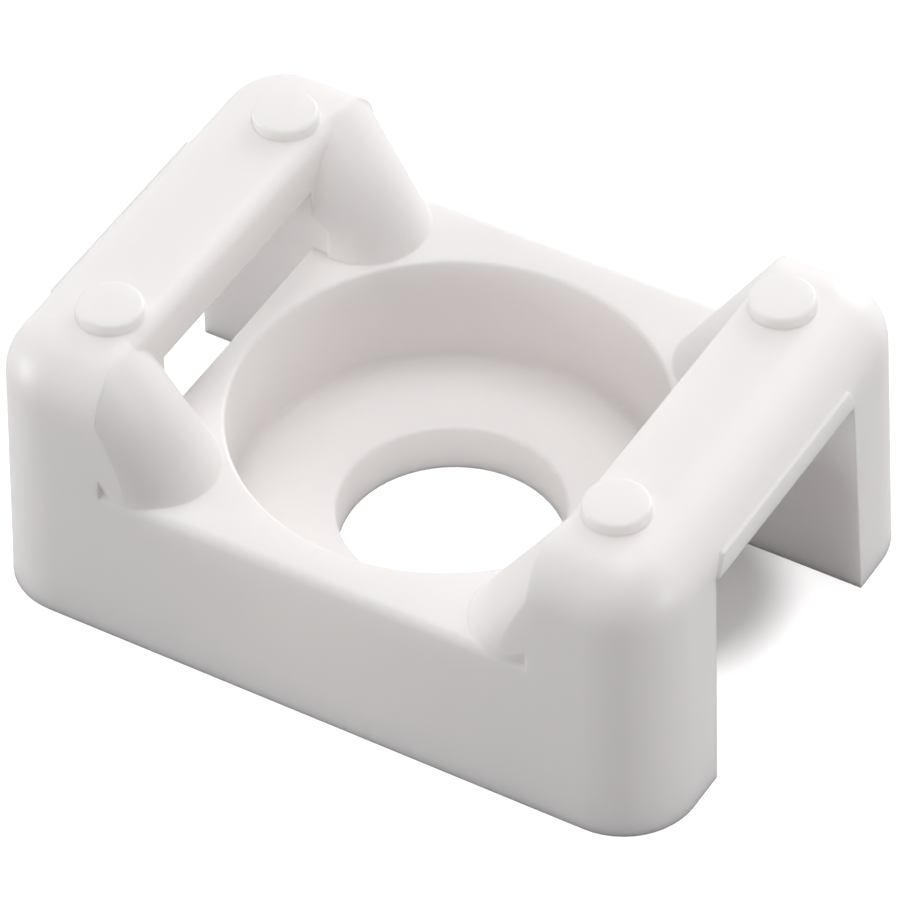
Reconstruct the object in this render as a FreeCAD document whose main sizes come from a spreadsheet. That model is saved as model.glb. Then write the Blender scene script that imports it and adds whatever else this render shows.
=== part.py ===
"""Cable tie mount: a screw-down nylon saddle with two bridges, moulded in one piece.

The origin is the middle of the flat underside, on the axis of the screw bore. X runs along the
mount, from bridge to bridge, Y across it and Z up. Sizes are millimetres and degrees.
"""

import FreeCAD, Part
import math
import os

import Sketcher

NODE = "cable_tie_mount"

# Alias, value and meaning of every driving dimension.
SIZES = [
    ("screw_bore", 6.6, "diameter of the screw's clearance bore"),
    ("cup_bore", 12.66, "diameter of the cup that takes the screw's head"),
    ("cup_floor", 1.6, "thickness of the floor that the screw's head clamps"),
    ("cup_depth", 3.7, "depth of the cup, from the plate's top to its floor"),
    ("side_wall", 1.47, "wall between the cup and a long side, at the underside"),
    ("end_wall", 0.66, "wall between the cup and the plate's end"),
    ("bridge_reach", 4.01, "length of a bridge and its pillars, at the underside"),
    ("slot_height", 2.03, "height of the tie slot over the plate"),
    ("bridge_thickness", 1.93, "thickness of a bridge over the tie slot"),
    ("arch_width", 8.5, "width of an end arch at the underside"),
    ("arch_draft", 2.2, "draft angle of the arch's two sides"),
    ("wall_draft", 1.9, "draft angle of the outer walls"),
    ("corner_round", 2.25, "radius of the four upright corners"),
    ("top_round", 1.7, "radius round the outer top edge"),
    ("bridge_lap", 0.12, "how far a bridge's inner face stands in from the plate's end"),
    ("inner_round", 0.5, "radius along a bridge's inner top edge"),
    ("plate_round", 0.3, "radius along the plate's long top edges"),
    ("roof_round", 0.3, "radius along a bridge's inner lower edge, where the tie turns"),
    ("plate_end_round", 0.15, "radius along the plate's end, where the tie turns"),
    ("gusset_radius", 1.85, "radius of a gusset's round front, seen from above"),
    ("gusset_reach", 2.6, "how far a gusset's foot reaches over the plate"),
    ("gusset_lean", 34.4, "angle by which a gusset leans back to its bridge"),
    ("gusset_splay", 4.0, "angle by which a gusset leans out to the mount's side"),
    ("gusset_side", 0.19, "setback of a gusset's foot from the mount's side at the underside"),
    ("gusset_round", 0.45, "radius round a gusset's top front"),
    ("cup_rim_round", 0.12, "radius round the cup's rim"),
    ("cup_foot_round", 0.25, "radius between the cup's wall and its floor"),
    ("bore_rim_round", 0.12, "radius round the bore's upper rim"),
    ("lip_height", 0.74, "height of the flat lip over an arch"),
    ("lip_slant", 0.35, "how much narrower each end of the lip is at its top"),
    ("lip_proud", 0.07, "how far the lip stands out at its lower corners"),
    ("pad_diameter", 1.93, "diameter of an ejector pad"),
    ("pad_height", 0.37, "height of an ejector pad over the bridge's top"),
    ("pad_round", 0.1, "radius round a pad's top"),
    ("pad_inset", 1.21, "distance of a pad's axis from the bridge's inner face"),
    ("pad_side", 3.12, "distance of a pad's axis from the mount's side at the underside"),
]

# Heights and half lengths that follow from the driving dimensions, as expressions.
PLATE_TOP = "(Sizes.cup_floor + Sizes.cup_depth)"
ARCH_TOP = f"({PLATE_TOP} + Sizes.slot_height)"
BRIDGE_TOP = f"({ARCH_TOP} + Sizes.bridge_thickness)"
HALF_PLATE = "(Sizes.cup_bore / 2 + Sizes.end_wall)"
HALF_BAY = f"({HALF_PLATE} - Sizes.bridge_lap)"
HALF_LENGTH = f"({HALF_PLATE} + Sizes.bridge_reach)"
HALF_WIDTH = "(Sizes.cup_bore / 2 + Sizes.side_wall)"
ARCH_SIDE = "tan(Sizes.arch_draft * 1 deg)"
ARCH_HALF_TOP = f"(Sizes.arch_width / 2 - {ARCH_TOP} * {ARCH_SIDE})"
GUSSET_X = f"({HALF_BAY} - Sizes.gusset_reach + Sizes.gusset_radius)"
GUSSET_Y = f"({HALF_WIDTH} - Sizes.gusset_side - Sizes.gusset_radius)"
PAD_X = f"({HALF_BAY} + Sizes.pad_inset)"
PAD_Y = f"({HALF_WIDTH} - Sizes.pad_side)"

# Spare length by which a cut runs past the faces that it opens.
CLEAR = 2.0

doc = FreeCAD.newDocument("CableTieMount")


def make_sheet():
    """Writes the driving dimensions into a sheet, one alias to a row."""
    sheet = doc.addObject("Spreadsheet::Sheet", "Sizes")
    for row, (alias, value, meaning) in enumerate(SIZES, start=1):
        sheet.set(f"A{row}", meaning)
        sheet.set(f"B{row}", str(value))
        sheet.setAlias(f"B{row}", alias)
    doc.recompute()
    return sheet


sheet = make_sheet()


def value(expression):
    """The number that an expression over the sheet has now."""
    return float(sheet.evalExpression(expression))


def new_body(label):
    body = doc.addObject("PartDesign::Body", label)
    body.Label = label
    return body


def origin_feature(body, role):
    return next(part for part in body.Origin.OriginFeatures if part.Role == role)


def new_sketch(body, name, role, offset=None):
    """A sketch on one of the body's origin planes, moved along the plane's normal by offset."""
    sketch = body.newObject("Sketcher::SketchObject", name)
    sketch.AttachmentSupport = [(origin_feature(body, role), "")]
    sketch.MapMode = "FlatFace"
    if offset:
        sketch.setExpression("AttachmentOffset.Base.z", offset)
    return sketch


def size(sketch, kind, name, expression, *where):
    """Adds a named dimension to a sketch and binds it to an expression."""
    number = sketch.addConstraint(Sketcher.Constraint(kind, *where, value(expression)))
    sketch.renameConstraint(number, name)
    sketch.setExpression(f"Constraints.{name}", expression)


def curved_edge(start, end, radius, turn):
    """The arc from start to end, shorter than a half circle, turning left (1) or right (-1)."""
    along = end.sub(start)
    half = along.Length / 2
    aside = FreeCAD.Vector(-along.y, along.x, 0).normalize()
    centre = start.add(end).multiply(0.5).add(aside.multiply(turn * math.sqrt(radius**2 - half**2)))
    first, last = (start, end) if turn > 0 else (end, start)
    a0 = math.atan2(first.y - centre.y, first.x - centre.x)
    a1 = math.atan2(last.y - centre.y, last.x - centre.x)
    ring = Part.Circle(centre, FreeCAD.Vector(0, 0, 1), radius)
    return Part.ArcOfCircle(ring, a0, a1 + (2 * math.pi if a1 < a0 else 0))


def outline(sketch, corners):
    """Draws a closed outline through corners whose coordinates are expressions.

    A corner with two more entries, a radius and a turn, is followed by an arc to the next corner.
    """
    points = [FreeCAD.Vector(value(corner[0]), value(corner[1]), 0) for corner in corners]
    edges = []
    for corner, start, end in zip(corners, points, points[1:] + points[:1]):
        if len(corner) == 2:
            edges.append((sketch.addGeometry(Part.LineSegment(start, end), False), 1, 2))
            continue
        radius, turn = corner[2:]
        arc = sketch.addGeometry(curved_edge(start, end, value(radius), turn), False)
        edges.append((arc, 1, 2) if turn > 0 else (arc, 2, 1))
    for (edge, _, end), (following, start, _) in zip(edges, edges[1:] + edges[:1]):
        sketch.addConstraint(Sketcher.Constraint("Coincident", edge, end, following, start))
    for number, (corner, (edge, start, _)) in enumerate(zip(corners, edges)):
        size(sketch, "DistanceX", f"x{number}", corner[0], -1, 1, edge, start)
        size(sketch, "DistanceY", f"y{number}", corner[1], -1, 1, edge, start)
        if len(corner) > 2:
            size(sketch, "Radius", f"r{number}", corner[2], edge)


def circle(sketch, x, y, radius, tag=""):
    """A circle whose centre and radius are expressions; tag keeps its dimensions' names apart."""
    centre = FreeCAD.Vector(value(x), value(y), 0)
    normal = FreeCAD.Vector(0, 0, 1)
    ring = sketch.addGeometry(Part.Circle(centre, normal, value(radius)), False)
    size(sketch, "DistanceX", f"across{tag}", x, -1, 1, ring, 3)
    size(sketch, "DistanceY", f"along{tag}", y, -1, 1, ring, 3)
    size(sketch, "Radius", f"radius{tag}", radius, ring)
    return ring


def extrude(body, kind, name, sketch, length, both=False, reverse=False):
    """A Pad or Pocket of a sketch, one way or evenly both ways."""
    feature = body.newObject(f"PartDesign::{kind}", name)
    feature.Profile = sketch
    feature.SideType = "Symmetric" if both else "One side"
    feature.Reversed = reverse
    feature.setExpression("Length", length)
    return feature


def mirror(body, name, features, role):
    """Repeats features on the other side of an origin plane."""
    pattern = body.newObject("PartDesign::Mirrored", name)
    pattern.Originals = features
    pattern.MirrorPlane = (origin_feature(body, role), [""])
    body.Tip = pattern
    doc.recompute()
    return pattern


def round_edges(body, name, radius, wanted):
    """Fillets the edges of the body's last feature for which wanted says yes."""
    base = body.Tip
    names = [f"Edge{i}" for i, edge in enumerate(base.Shape.Edges, start=1) if wanted(edge)]
    if not names:
        raise RuntimeError(f"{name} found no edge")
    fillet = body.newObject("PartDesign::Fillet", name)
    fillet.Base = (base, names)
    fillet.setExpression("Radius", radius)
    doc.recompute()
    return fillet


def near(a, b, slack=0.02):
    return abs(a - b) < slack


def level(edge, z):
    """Whether the whole edge lies at height z."""
    box = edge.BoundBox
    return near(box.ZMin, z) and near(box.ZMax, z)


def outer_form(body):
    """The drafted block with round corners that all of the mount fits in."""
    sketch = new_sketch(body, "BaseOutline", "XY_Plane")
    r = "Sizes.corner_round"
    x, y = f"({HALF_LENGTH} - {r})", f"({HALF_WIDTH} - {r})"
    outline(sketch, [
        (f"-{x}", f"-{HALF_WIDTH}"), (x, f"-{HALF_WIDTH}", r, 1),
        (HALF_LENGTH, f"-{y}"), (HALF_LENGTH, y, r, 1),
        (x, HALF_WIDTH), (f"-{x}", HALF_WIDTH, r, 1),
        (f"-{HALF_LENGTH}", y), (f"-{HALF_LENGTH}", f"-{y}", r, 1),
    ])
    block = extrude(body, "Pad", "Block", sketch, BRIDGE_TOP)
    block.setExpression("TaperAngle", "-Sizes.wall_draft")
    doc.recompute()
    top = value(BRIDGE_TOP)
    round_edges(body, "TopRound", "Sizes.top_round", lambda edge: level(edge, top))


def lips(body):
    """A flat lip over each arch, upright where the bridge's outer face starts to round off."""
    sketch = new_sketch(body, "LipOutline", "YZ_Plane", HALF_PLATE)
    top, root = f"({ARCH_TOP} + Sizes.lip_height)", f"({ARCH_TOP} - {CLEAR / 2})"
    narrow = f"({ARCH_HALF_TOP} - Sizes.lip_slant)"
    outline(sketch, [
        (f"-{ARCH_HALF_TOP}", root), (ARCH_HALF_TOP, root), (ARCH_HALF_TOP, ARCH_TOP),
        (narrow, top), (f"-{narrow}", top), (f"-{ARCH_HALF_TOP}", ARCH_TOP),
    ])
    lean = f"{ARCH_TOP} * tan(Sizes.wall_draft * 1 deg)"
    lip = extrude(body, "Pad", "Lip", sketch, f"Sizes.bridge_reach - {lean} + Sizes.lip_proud")
    mirror(body, "Lips", [lip], "YZ_Plane")


def trapezoid(sketch, low, high):
    """The arch's outline between two heights, its sides in line with the arch's draft."""
    wide = f"(Sizes.arch_width / 2 - {low} * {ARCH_SIDE})"
    narrow = f"(Sizes.arch_width / 2 - {high} * {ARCH_SIDE})"
    outline(sketch, [(f"-{wide}", low), (wide, low), (narrow, high), (f"-{narrow}", high)])


def arches(body):
    """Cuts the arch under each bridge, open at its end and below."""
    sketch = new_sketch(body, "ArchOutline", "YZ_Plane", HALF_PLATE)
    trapezoid(sketch, f"(-{CLEAR})", ARCH_TOP)
    arch = extrude(body, "Pocket", "Arch", sketch, f"Sizes.bridge_reach + {CLEAR}", reverse=True)
    mirror(body, "Arches", [arch], "YZ_Plane")


def bay(body):
    """Clears the space over the plate, between the bridges, with their inner top edges round."""
    sketch = new_sketch(body, "BayProfile", "XZ_Plane")
    r = "Sizes.inner_round"
    mouth, turn = f"({HALF_BAY} + {r})", f"({BRIDGE_TOP} - {r})"
    above = f"({BRIDGE_TOP} + {CLEAR})"
    outline(sketch, [
        (f"-{HALF_BAY}", PLATE_TOP), (HALF_BAY, PLATE_TOP), (HALF_BAY, turn, r, -1),
        (mouth, BRIDGE_TOP), (mouth, above), (f"-{mouth}", above),
        (f"-{mouth}", BRIDGE_TOP, r, -1), (f"-{HALF_BAY}", turn),
    ])
    extrude(body, "Pocket", "Bay", sketch, f"2 * ({HALF_WIDTH} + {CLEAR})", both=True)


def plate_edges(body):
    """Rounds the plate's long top edges between the bridges, tangent to its top and its side."""
    sketch = new_sketch(body, "PlateEdge", "YZ_Plane")
    r, draft = "Sizes.plate_round", "(Sizes.wall_draft * 1 deg)"
    turn = f"({PLATE_TOP} - {r})"
    centre = f"({HALF_WIDTH} - {turn} * tan{draft} - {r} / cos{draft})"
    foot_y, foot_z = f"({centre} + {r} * cos{draft})", f"({turn} + {r} * sin{draft})"
    above, beyond = f"({PLATE_TOP} + {CLEAR})", f"({HALF_WIDTH} + {CLEAR})"
    outline(sketch, [
        (centre, PLATE_TOP, r, -1), (foot_y, foot_z), (beyond, foot_z), (beyond, above),
        (centre, above),
    ])
    edge = extrude(body, "Pocket", "PlateRound", sketch, f"2 * {HALF_BAY}", both=True)
    mirror(body, "PlateRounds", [edge], "XZ_Plane")


def slots(body):
    """Opens each arch to the space over the plate, for the tie."""
    sketch = new_sketch(body, "SlotOutline", "YZ_Plane", f"({HALF_PLATE} + {CLEAR / 4})")
    trapezoid(sketch, PLATE_TOP, ARCH_TOP)
    slot = extrude(body, "Pocket", "Slot", sketch, f"Sizes.bridge_lap + {CLEAR / 2}")
    mirror(body, "Slots", [slot], "YZ_Plane")


def tie_edge(body, name, x, z, radius, sign):
    """Rounds an edge that the tie bends over, at x and z, with the solid to the side of sign."""
    sketch = new_sketch(body, f"{name}Profile", "XZ_Plane")
    solid, free = ("+", "-") if sign > 0 else ("-", "+")
    spare = CLEAR / 4
    in_x, in_z = f"({x} {solid} {radius})", f"({z} {solid} {radius})"
    out_x, out_z = f"({x} {free} {spare})", f"({z} {free} {spare})"
    outline(sketch, [(x, in_z, radius, 1), (in_x, z), (in_x, out_z), (out_x, out_z), (out_x, in_z)])
    return extrude(body, "Pocket", name, sketch, f"2 * {ARCH_HALF_TOP}", both=True)


def cup_and_bore(body):
    """The cup for the screw's head and the screw's bore, turned as one round cavity."""
    sketch = new_sketch(body, "CavityProfile", "XZ_Plane")
    bore, cup = "(Sizes.screw_bore / 2)", "(Sizes.cup_bore / 2)"
    floor, lip, foot, rim = (
        "Sizes.cup_floor", "Sizes.bore_rim_round", "Sizes.cup_foot_round", "Sizes.cup_rim_round"
    )
    above, mouth = f"({PLATE_TOP} + {CLEAR / 4})", f"({cup} + {rim})"
    outline(sketch, [
        ("0", f"(-{CLEAR})"), (bore, f"(-{CLEAR})"),
        (bore, f"({floor} - {lip})", lip, -1), (f"({bore} + {lip})", floor),
        (f"({cup} - {foot})", floor, foot, 1), (cup, f"({floor} + {foot})"),
        (cup, f"({PLATE_TOP} - {rim})", rim, -1), (mouth, PLATE_TOP),
        (mouth, above), ("0", above),
    ])
    cavity = body.newObject("PartDesign::Groove", "Cavity")
    cavity.Profile = sketch
    cavity.ReferenceAxis = (sketch, ["V_Axis"])
    cavity.Angle = 360
    doc.recompute()


def pads(body):
    """Four low round pads on the bridges, where the mould's ejector pins press."""
    sketch = new_sketch(body, "PadCircles", "XY_Plane", f"{BRIDGE_TOP} - Sizes.inner_round")
    for tag, (x, y) in enumerate(((1, 1), (-1, 1), (-1, -1), (1, -1))):
        circle(sketch, f"{x} * {PAD_X}", f"{y} * {PAD_Y}", "Sizes.pad_diameter / 2", f"{tag}")
    extrude(body, "Pad", "EjectorPads", sketch, "Sizes.inner_round + Sizes.pad_height")
    doc.recompute()
    top = value(BRIDGE_TOP) + value("Sizes.pad_height")
    round_edges(body, "PadRound", "Sizes.pad_round", lambda edge: level(edge, top))


def gusset(body):
    """A round buttress that leans back and out from the plate to its bridge's top."""
    sink = "(2 * Sizes.plate_round)"
    rise = f"({BRIDGE_TOP} - {PLATE_TOP} + {sink})"
    foot = new_sketch(body, "GussetFoot", "XY_Plane", f"{PLATE_TOP} - {sink}")
    lean, splay = "tan(Sizes.gusset_lean * 1 deg)", "tan(Sizes.gusset_splay * 1 deg)"
    circle(foot, f"{GUSSET_X} - {sink} * {lean}", f"{GUSSET_Y} - {sink} * {splay}",
           "Sizes.gusset_radius")
    pad = extrude(body, "Pad", "GussetPad", foot, rise)
    pad.UseCustomVector = True
    pad.AlongSketchNormal = True
    pad.Direction = FreeCAD.Vector(value(lean), value(splay), 1)
    pad.setExpression("Direction.x", lean)
    pad.setExpression("Direction.y", splay)
    doc.recompute()
    top = value(BRIDGE_TOP)
    round_edges(body, "GussetRound", "Sizes.gusset_round", lambda edge: level(edge, top))


def mirrored(source, name, normal):
    """The same form on the other side of the plane through the origin with that normal."""
    copy = doc.addObject("Part::Mirroring", name)
    copy.Source = source
    copy.Normal = normal
    copy.Base = (0, 0, 0)
    return copy


def common(name, base, tool):
    """The form that base and tool share."""
    shared = doc.addObject("Part::Common", name)
    shared.Base = base
    shared.Tool = tool
    return shared


def check(made):
    """Stops unless every object and the finished shape are sound."""
    for item in doc.Objects:
        if "Invalid" in item.State or "Error" in item.State:
            raise RuntimeError(f"{item.Name} failed: {item.State}")
    if made.Shape.isNull() or not made.Shape.isValid() or len(made.Shape.Solids) != 1:
        raise RuntimeError(f"{made.Label} is not one sound solid")


saddle = new_body("saddle")
outer_form(saddle)
lips(saddle)
arches(saddle)
bay(saddle)
plate_edges(saddle)
pads(saddle)

envelope = new_body("envelope")
outer_form(envelope)

right_back = new_body("gusset")
gusset(right_back)
across, along = FreeCAD.Vector(0, 1, 0), FreeCAD.Vector(1, 0, 0)
right_front = mirrored(right_back, "GussetRightFront", across)
left_back = mirrored(right_back, "GussetLeftBack", along)
left_front = mirrored(right_front, "GussetLeftFront", along)
slab = doc.addObject("Part::Box", "BaySlab")
half_slab = f"({HALF_BAY} + 2 * Sizes.inner_round)"
slab.setExpression("Length", f"2 * {half_slab}")
slab.setExpression("Width", f"2 * {HALF_WIDTH}")
slab.setExpression("Height", BRIDGE_TOP)
slab.setExpression("Placement.Base.x", f"-{half_slab}")
slab.setExpression("Placement.Base.y", f"-{HALF_WIDTH}")
room = common("GussetRoom", envelope, slab)
trimmed = [common(f"{form.Name}Trimmed", room, form)
           for form in (right_back, right_front, left_back, left_front)]
braced = doc.addObject("Part::MultiFuse", "Braced")
braced.Shapes = [saddle] + trimmed
braced.Refine = True
doc.recompute()

mount = new_body(NODE)
mount.BaseFeature = braced
doc.recompute()
slots(mount)
roof = tie_edge(mount, "RoofEdge", HALF_BAY, ARCH_TOP, "Sizes.roof_round", 1)
brink = tie_edge(mount, "PlateEnd", HALF_PLATE, PLATE_TOP, "Sizes.plate_end_round", -1)
mirror(mount, "TieEdges", [roof, brink], "YZ_Plane")
cup_and_bore(mount)
doc.recompute()
check(mount)

os.makedirs("parts", exist_ok=True)
mount.Shape.exportStep(f"parts/{mount.Label}.step")
print(mount.Label, round(mount.Shape.Volume, 1), "cubic millimetres")
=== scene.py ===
"""The look of a cable tie mount: one moulded piece of natural nylon on a pale floor that carries a
painted glow and a painted bounce tone.
"""

import math

import bpy
from mathutils import Matrix, Vector

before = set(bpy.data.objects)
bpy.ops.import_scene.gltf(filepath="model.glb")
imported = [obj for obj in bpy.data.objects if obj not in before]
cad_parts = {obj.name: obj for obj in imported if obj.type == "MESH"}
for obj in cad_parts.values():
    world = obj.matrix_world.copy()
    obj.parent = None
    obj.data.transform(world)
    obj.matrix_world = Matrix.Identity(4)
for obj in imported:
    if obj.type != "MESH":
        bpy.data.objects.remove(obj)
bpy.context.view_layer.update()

MM = 0.001
NODE = "cable_tie_mount"
WHITE = (1.0, 1.0, 1.0, 1.0)

# The camera stands where the photographer's did: angles in degrees, lengths in millimetres.
CAMERA_AZIMUTH = 31.450
CAMERA_ELEVATION = 43.783
CAMERA_ROLL = -1.538
CAMERA_AIM = (0.0, 0.0, 4.0)
CAMERA_DISTANCE = 200.295
CAMERA_SIDESTEP = (0.002, -0.108)
CAMERA_LENS = 283.0
CAMERA_CLIP = (10.0, 10000.0)
SENSOR_WIDTH = 36.0

# The nylon: its colour in sRGB, its gloss, how far light strays inside it, red furthest, the fine
# grain of the mould's face, and how far the light softens over a moulded edge. Millimetres.
NYLON_COLOUR = "F6F2F1"
NYLON_ROUGHNESS = 0.42
NYLON_IOR = 1.53
SCATTER_SHARE = 0.7
SCATTER_DEPTH = 1.0
SCATTER_SPREAD = (1.0, 0.95, 0.92)
GRAIN_SIZE = 0.25
GRAIN_DETAIL = 2.0
GRAIN_DEPTH = 0.002
EDGE_ROUND = 0.1

# Light from all round, and the soft boxes: name, place, side of the square, watts and the share of
# the light that shines in the gloss. All of them face the middle of the mount. Millimetres.
WORLD_STRENGTH = 0.29
LAMP_AIM = (0, 0, 4)
LAMPS = [
    ("overhead", (0, 60, 450), 300, 0.92, 1.0),
    ("front overhead", (60, -160, 400), 240, 0.12, 1.0),
    ("left wall", (-340, -208, 60), 120, 0.57, 0.3),
    ("right wall", (400, 40, 45), 90, 0.33, 1.0),
    ("back wall", (0, 400, 160), 240, 0.78, 1.0),
]

# The floor's tone for the light it gives back, a painted bounce: pale under the bore, painted light
# for the bore's wall, and fading to grey where the mount ends, painted shade on its lower faces,
# between these two radii in millimetres.
PAINTED_SHADE_BOUNCE_TONE = (0.4, 0.4, 0.4, 1.0)
PAINTED_LIGHT_BOUNCE_TONE = (0.9, 0.9, 0.9, 1.0)
PAINTED_LIGHT_INNER = 3.4
PAINTED_LIGHT_OUTER = 10.5

# The floor's half side, and how far it lies under the mount, so that their faces don't coincide.
# Millimetres.
FLOOR_HALF = 2000
FLOOR_GAP = 0.02

# How much whiter the eye sees the floor, a painted glow that washes out its shadows: none in the
# shade under the right bridge, all of it away from there. The shade's middle and its radii in
# millimetres.
FLOOR_PAINTED_GLOW = 0.6
SHADE_MIDDLE = (6.4, 1.6, 0.0)
SHADE_INNER = 2.1
SHADE_OUTER = 4.1


def linear(code):
    """A linear colour with alpha from a six-digit sRGB hex code."""
    parts = [int(code[i:i + 2], 16) / 255 for i in (0, 2, 4)]
    return (
        *(c / 12.92 if c <= 0.04045 else ((c + 0.055) / 1.055) ** 2.4 for c in parts),
        1.0,
    )


def add_node(material, kind, **inputs):
    """A shader node with its sockets set; a socket's spaces are written as underscores."""
    node = material.node_tree.nodes.new(kind)
    for name, setting in inputs.items():
        node.inputs[name.replace("_", " ")].default_value = setting
    return node


def moulded_nylon():
    """Natural nylon 6/6: a warm off-white with a soft sheen that light enters a little way."""
    material = bpy.data.materials.new("moulded nylon 6/6, natural")
    material.use_nodes = True
    links = material.node_tree.links
    surface = material.node_tree.nodes["Principled BSDF"]
    surface.inputs["Base Color"].default_value = linear(NYLON_COLOUR)
    surface.inputs["Roughness"].default_value = NYLON_ROUGHNESS
    surface.inputs["IOR"].default_value = NYLON_IOR
    surface.inputs["Subsurface Weight"].default_value = SCATTER_SHARE
    surface.inputs["Subsurface Radius"].default_value = SCATTER_SPREAD
    surface.inputs["Subsurface Scale"].default_value = SCATTER_DEPTH * MM
    place = add_node(material, "ShaderNodeTexCoord")
    grain = add_node(material, "ShaderNodeTexNoise", Scale=1 / (GRAIN_SIZE * MM),
                     Detail=GRAIN_DETAIL)
    links.new(place.outputs["Object"], grain.inputs["Vector"])
    bump = add_node(material, "ShaderNodeBump", Strength=1.0, Distance=GRAIN_DEPTH * MM)
    links.new(grain.outputs["Fac"], bump.inputs["Height"])
    edge = add_node(material, "ShaderNodeBevel", Radius=EDGE_ROUND * MM)
    links.new(edge.outputs["Normal"], bump.inputs["Normal"])
    links.new(bump.outputs["Normal"], surface.inputs["Normal"])
    return material


def combined(material, kind, operation, first, second):
    """The value of a math node over a socket and a second socket or fixed value."""
    node = material.node_tree.nodes.new(kind)
    node.operation = operation
    material.node_tree.links.new(first, node.inputs[0])
    if isinstance(second, bpy.types.NodeSocket):
        material.node_tree.links.new(second, node.inputs[1])
    else:
        node.inputs[1].default_value = second
    return node.outputs["Value"]


def fade(material, source, low, high, start, end):
    """A smooth ramp of a value, from start at low to end at high."""
    ramp = add_node(material, "ShaderNodeMapRange", From_Min=low, From_Max=high,
                    To_Min=start, To_Max=end)
    ramp.interpolation_type = "SMOOTHSTEP"
    material.node_tree.links.new(source, ramp.inputs["Value"])
    return ramp.outputs["Result"]


def white_floor_with_painted_light():
    """A matt pale sheet that shows the eye white, with a painted glow that hides its shadows except
    the shade under the right bridge, and a painted bounce tone.
    """
    material = bpy.data.materials.new("matt white paper, painted glow and bounce tone")
    material.use_nodes = True
    nodes, links = material.node_tree.nodes, material.node_tree.links
    nodes.clear()
    place = add_node(material, "ShaderNodeTexCoord").outputs["Object"]
    path = add_node(material, "ShaderNodeLightPath").outputs
    mirrored = combined(material, "ShaderNodeMath", "MAXIMUM", path["Is Glossy Ray"],
                        path["Is Transmission Ray"])
    shown = combined(material, "ShaderNodeMath", "MAXIMUM", path["Is Camera Ray"], mirrored)

    # White for the rays that show it, and a painted bounce tone for the light that it gives back:
    # pale under the bore, grey further out.
    reach = combined(material, "ShaderNodeVectorMath", "DISTANCE", place, (0.0, 0.0, 0.0))
    under = fade(material, reach, PAINTED_LIGHT_INNER * MM, PAINTED_LIGHT_OUTER * MM, 1.0, 0.0)
    bounce = add_node(material, "ShaderNodeMixRGB", Color1=PAINTED_SHADE_BOUNCE_TONE, Color2=PAINTED_LIGHT_BOUNCE_TONE)
    links.new(under, bounce.inputs["Fac"])
    tone = add_node(material, "ShaderNodeMixRGB", Color2=WHITE)
    links.new(shown, tone.inputs["Fac"])
    links.new(bounce.outputs["Color"], tone.inputs["Color1"])
    paper = add_node(material, "ShaderNodeBsdfDiffuse")
    links.new(tone.outputs["Color"], paper.inputs["Color"])

    # A painted glow to full white that only the eye sees, with none in the shade.
    middle = [c * MM for c in SHADE_MIDDLE]
    away = combined(material, "ShaderNodeVectorMath", "DISTANCE", place, middle)
    lift = fade(material, away, SHADE_INNER * MM, SHADE_OUTER * MM, 0.0, FLOOR_PAINTED_GLOW)
    glow = combined(material, "ShaderNodeMath", "MULTIPLY", path["Is Camera Ray"], lift)
    # The glowing floor is no lamp: this white emission is the painted glow.
    white = add_node(material, "ShaderNodeEmission", Color=WHITE)
    links.new(glow, white.inputs["Strength"])

    both = add_node(material, "ShaderNodeAddShader")
    links.new(paper.outputs[0], both.inputs[0])
    links.new(white.outputs[0], both.inputs[1])
    out = add_node(material, "ShaderNodeOutputMaterial")
    links.new(both.outputs[0], out.inputs["Surface"])
    return material


def add_lamp(name, place, size, power, gloss):
    """A square soft box that faces the middle of the mount."""
    data = bpy.data.lights.new(name, "AREA")
    data.shape = "SQUARE"
    data.size = size * MM
    data.energy = power
    data.specular_factor = gloss
    light = bpy.data.objects.new(name, data)
    bpy.context.scene.collection.objects.link(light)
    at = Vector(place) * MM
    light.location = at
    light.rotation_euler = (Vector(LAMP_AIM) * MM - at).to_track_quat("-Z", "Y").to_euler()


def add_floor():
    """The flat sheet that the mount stands on."""
    data = bpy.data.meshes.new("floor")
    half = FLOOR_HALF * MM
    z = -FLOOR_GAP * MM
    corners = [(-half, -half, z), (half, -half, z), (half, half, z), (-half, half, z)]
    data.from_pydata(corners, [], [(0, 1, 2, 3)])
    floor = bpy.data.objects.new("floor", data)
    bpy.context.scene.collection.objects.link(floor)
    floor.data.materials.append(white_floor_with_painted_light())


def add_camera():
    """The view of the photograph, from its angles and distance."""
    azimuth, elevation, roll = (
        math.radians(angle) for angle in (CAMERA_AZIMUTH, CAMERA_ELEVATION, CAMERA_ROLL)
    )
    back = Vector((
        math.sin(azimuth) * math.cos(elevation),
        -math.cos(azimuth) * math.cos(elevation),
        math.sin(elevation),
    ))
    level = Vector((math.cos(azimuth), math.sin(azimuth), 0))
    upright = back.cross(level)
    right = math.cos(roll) * level + math.sin(roll) * upright
    up = math.cos(roll) * upright - math.sin(roll) * level
    at = Vector(CAMERA_AIM) + right * CAMERA_SIDESTEP[0] + up * CAMERA_SIDESTEP[1]
    at += back * CAMERA_DISTANCE
    data = bpy.data.cameras.new("camera")
    data.sensor_width = SENSOR_WIDTH
    data.lens = CAMERA_LENS
    data.clip_start, data.clip_end = (reach * MM for reach in CAMERA_CLIP)
    camera = bpy.data.objects.new("camera", data)
    turn = Matrix((right, up, back)).transposed().to_4x4()
    camera.matrix_world = Matrix.Translation(at * MM) @ turn
    bpy.context.scene.collection.objects.link(camera)
    bpy.context.scene.camera = camera


def add_world():
    """Even white light from all round."""
    world = bpy.data.worlds.new("studio")
    world.use_nodes = True
    ground = world.node_tree.nodes["Background"]
    ground.inputs["Color"].default_value = WHITE
    ground.inputs["Strength"].default_value = WORLD_STRENGTH
    bpy.context.scene.world = world


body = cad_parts[NODE]
nylon = moulded_nylon()
for slot in body.material_slots:
    slot.material = nylon

add_floor()
add_world()
for lamp in LAMPS:
    add_lamp(*lamp)
add_camera()
bpy.context.scene.view_settings.view_transform = "Standard"
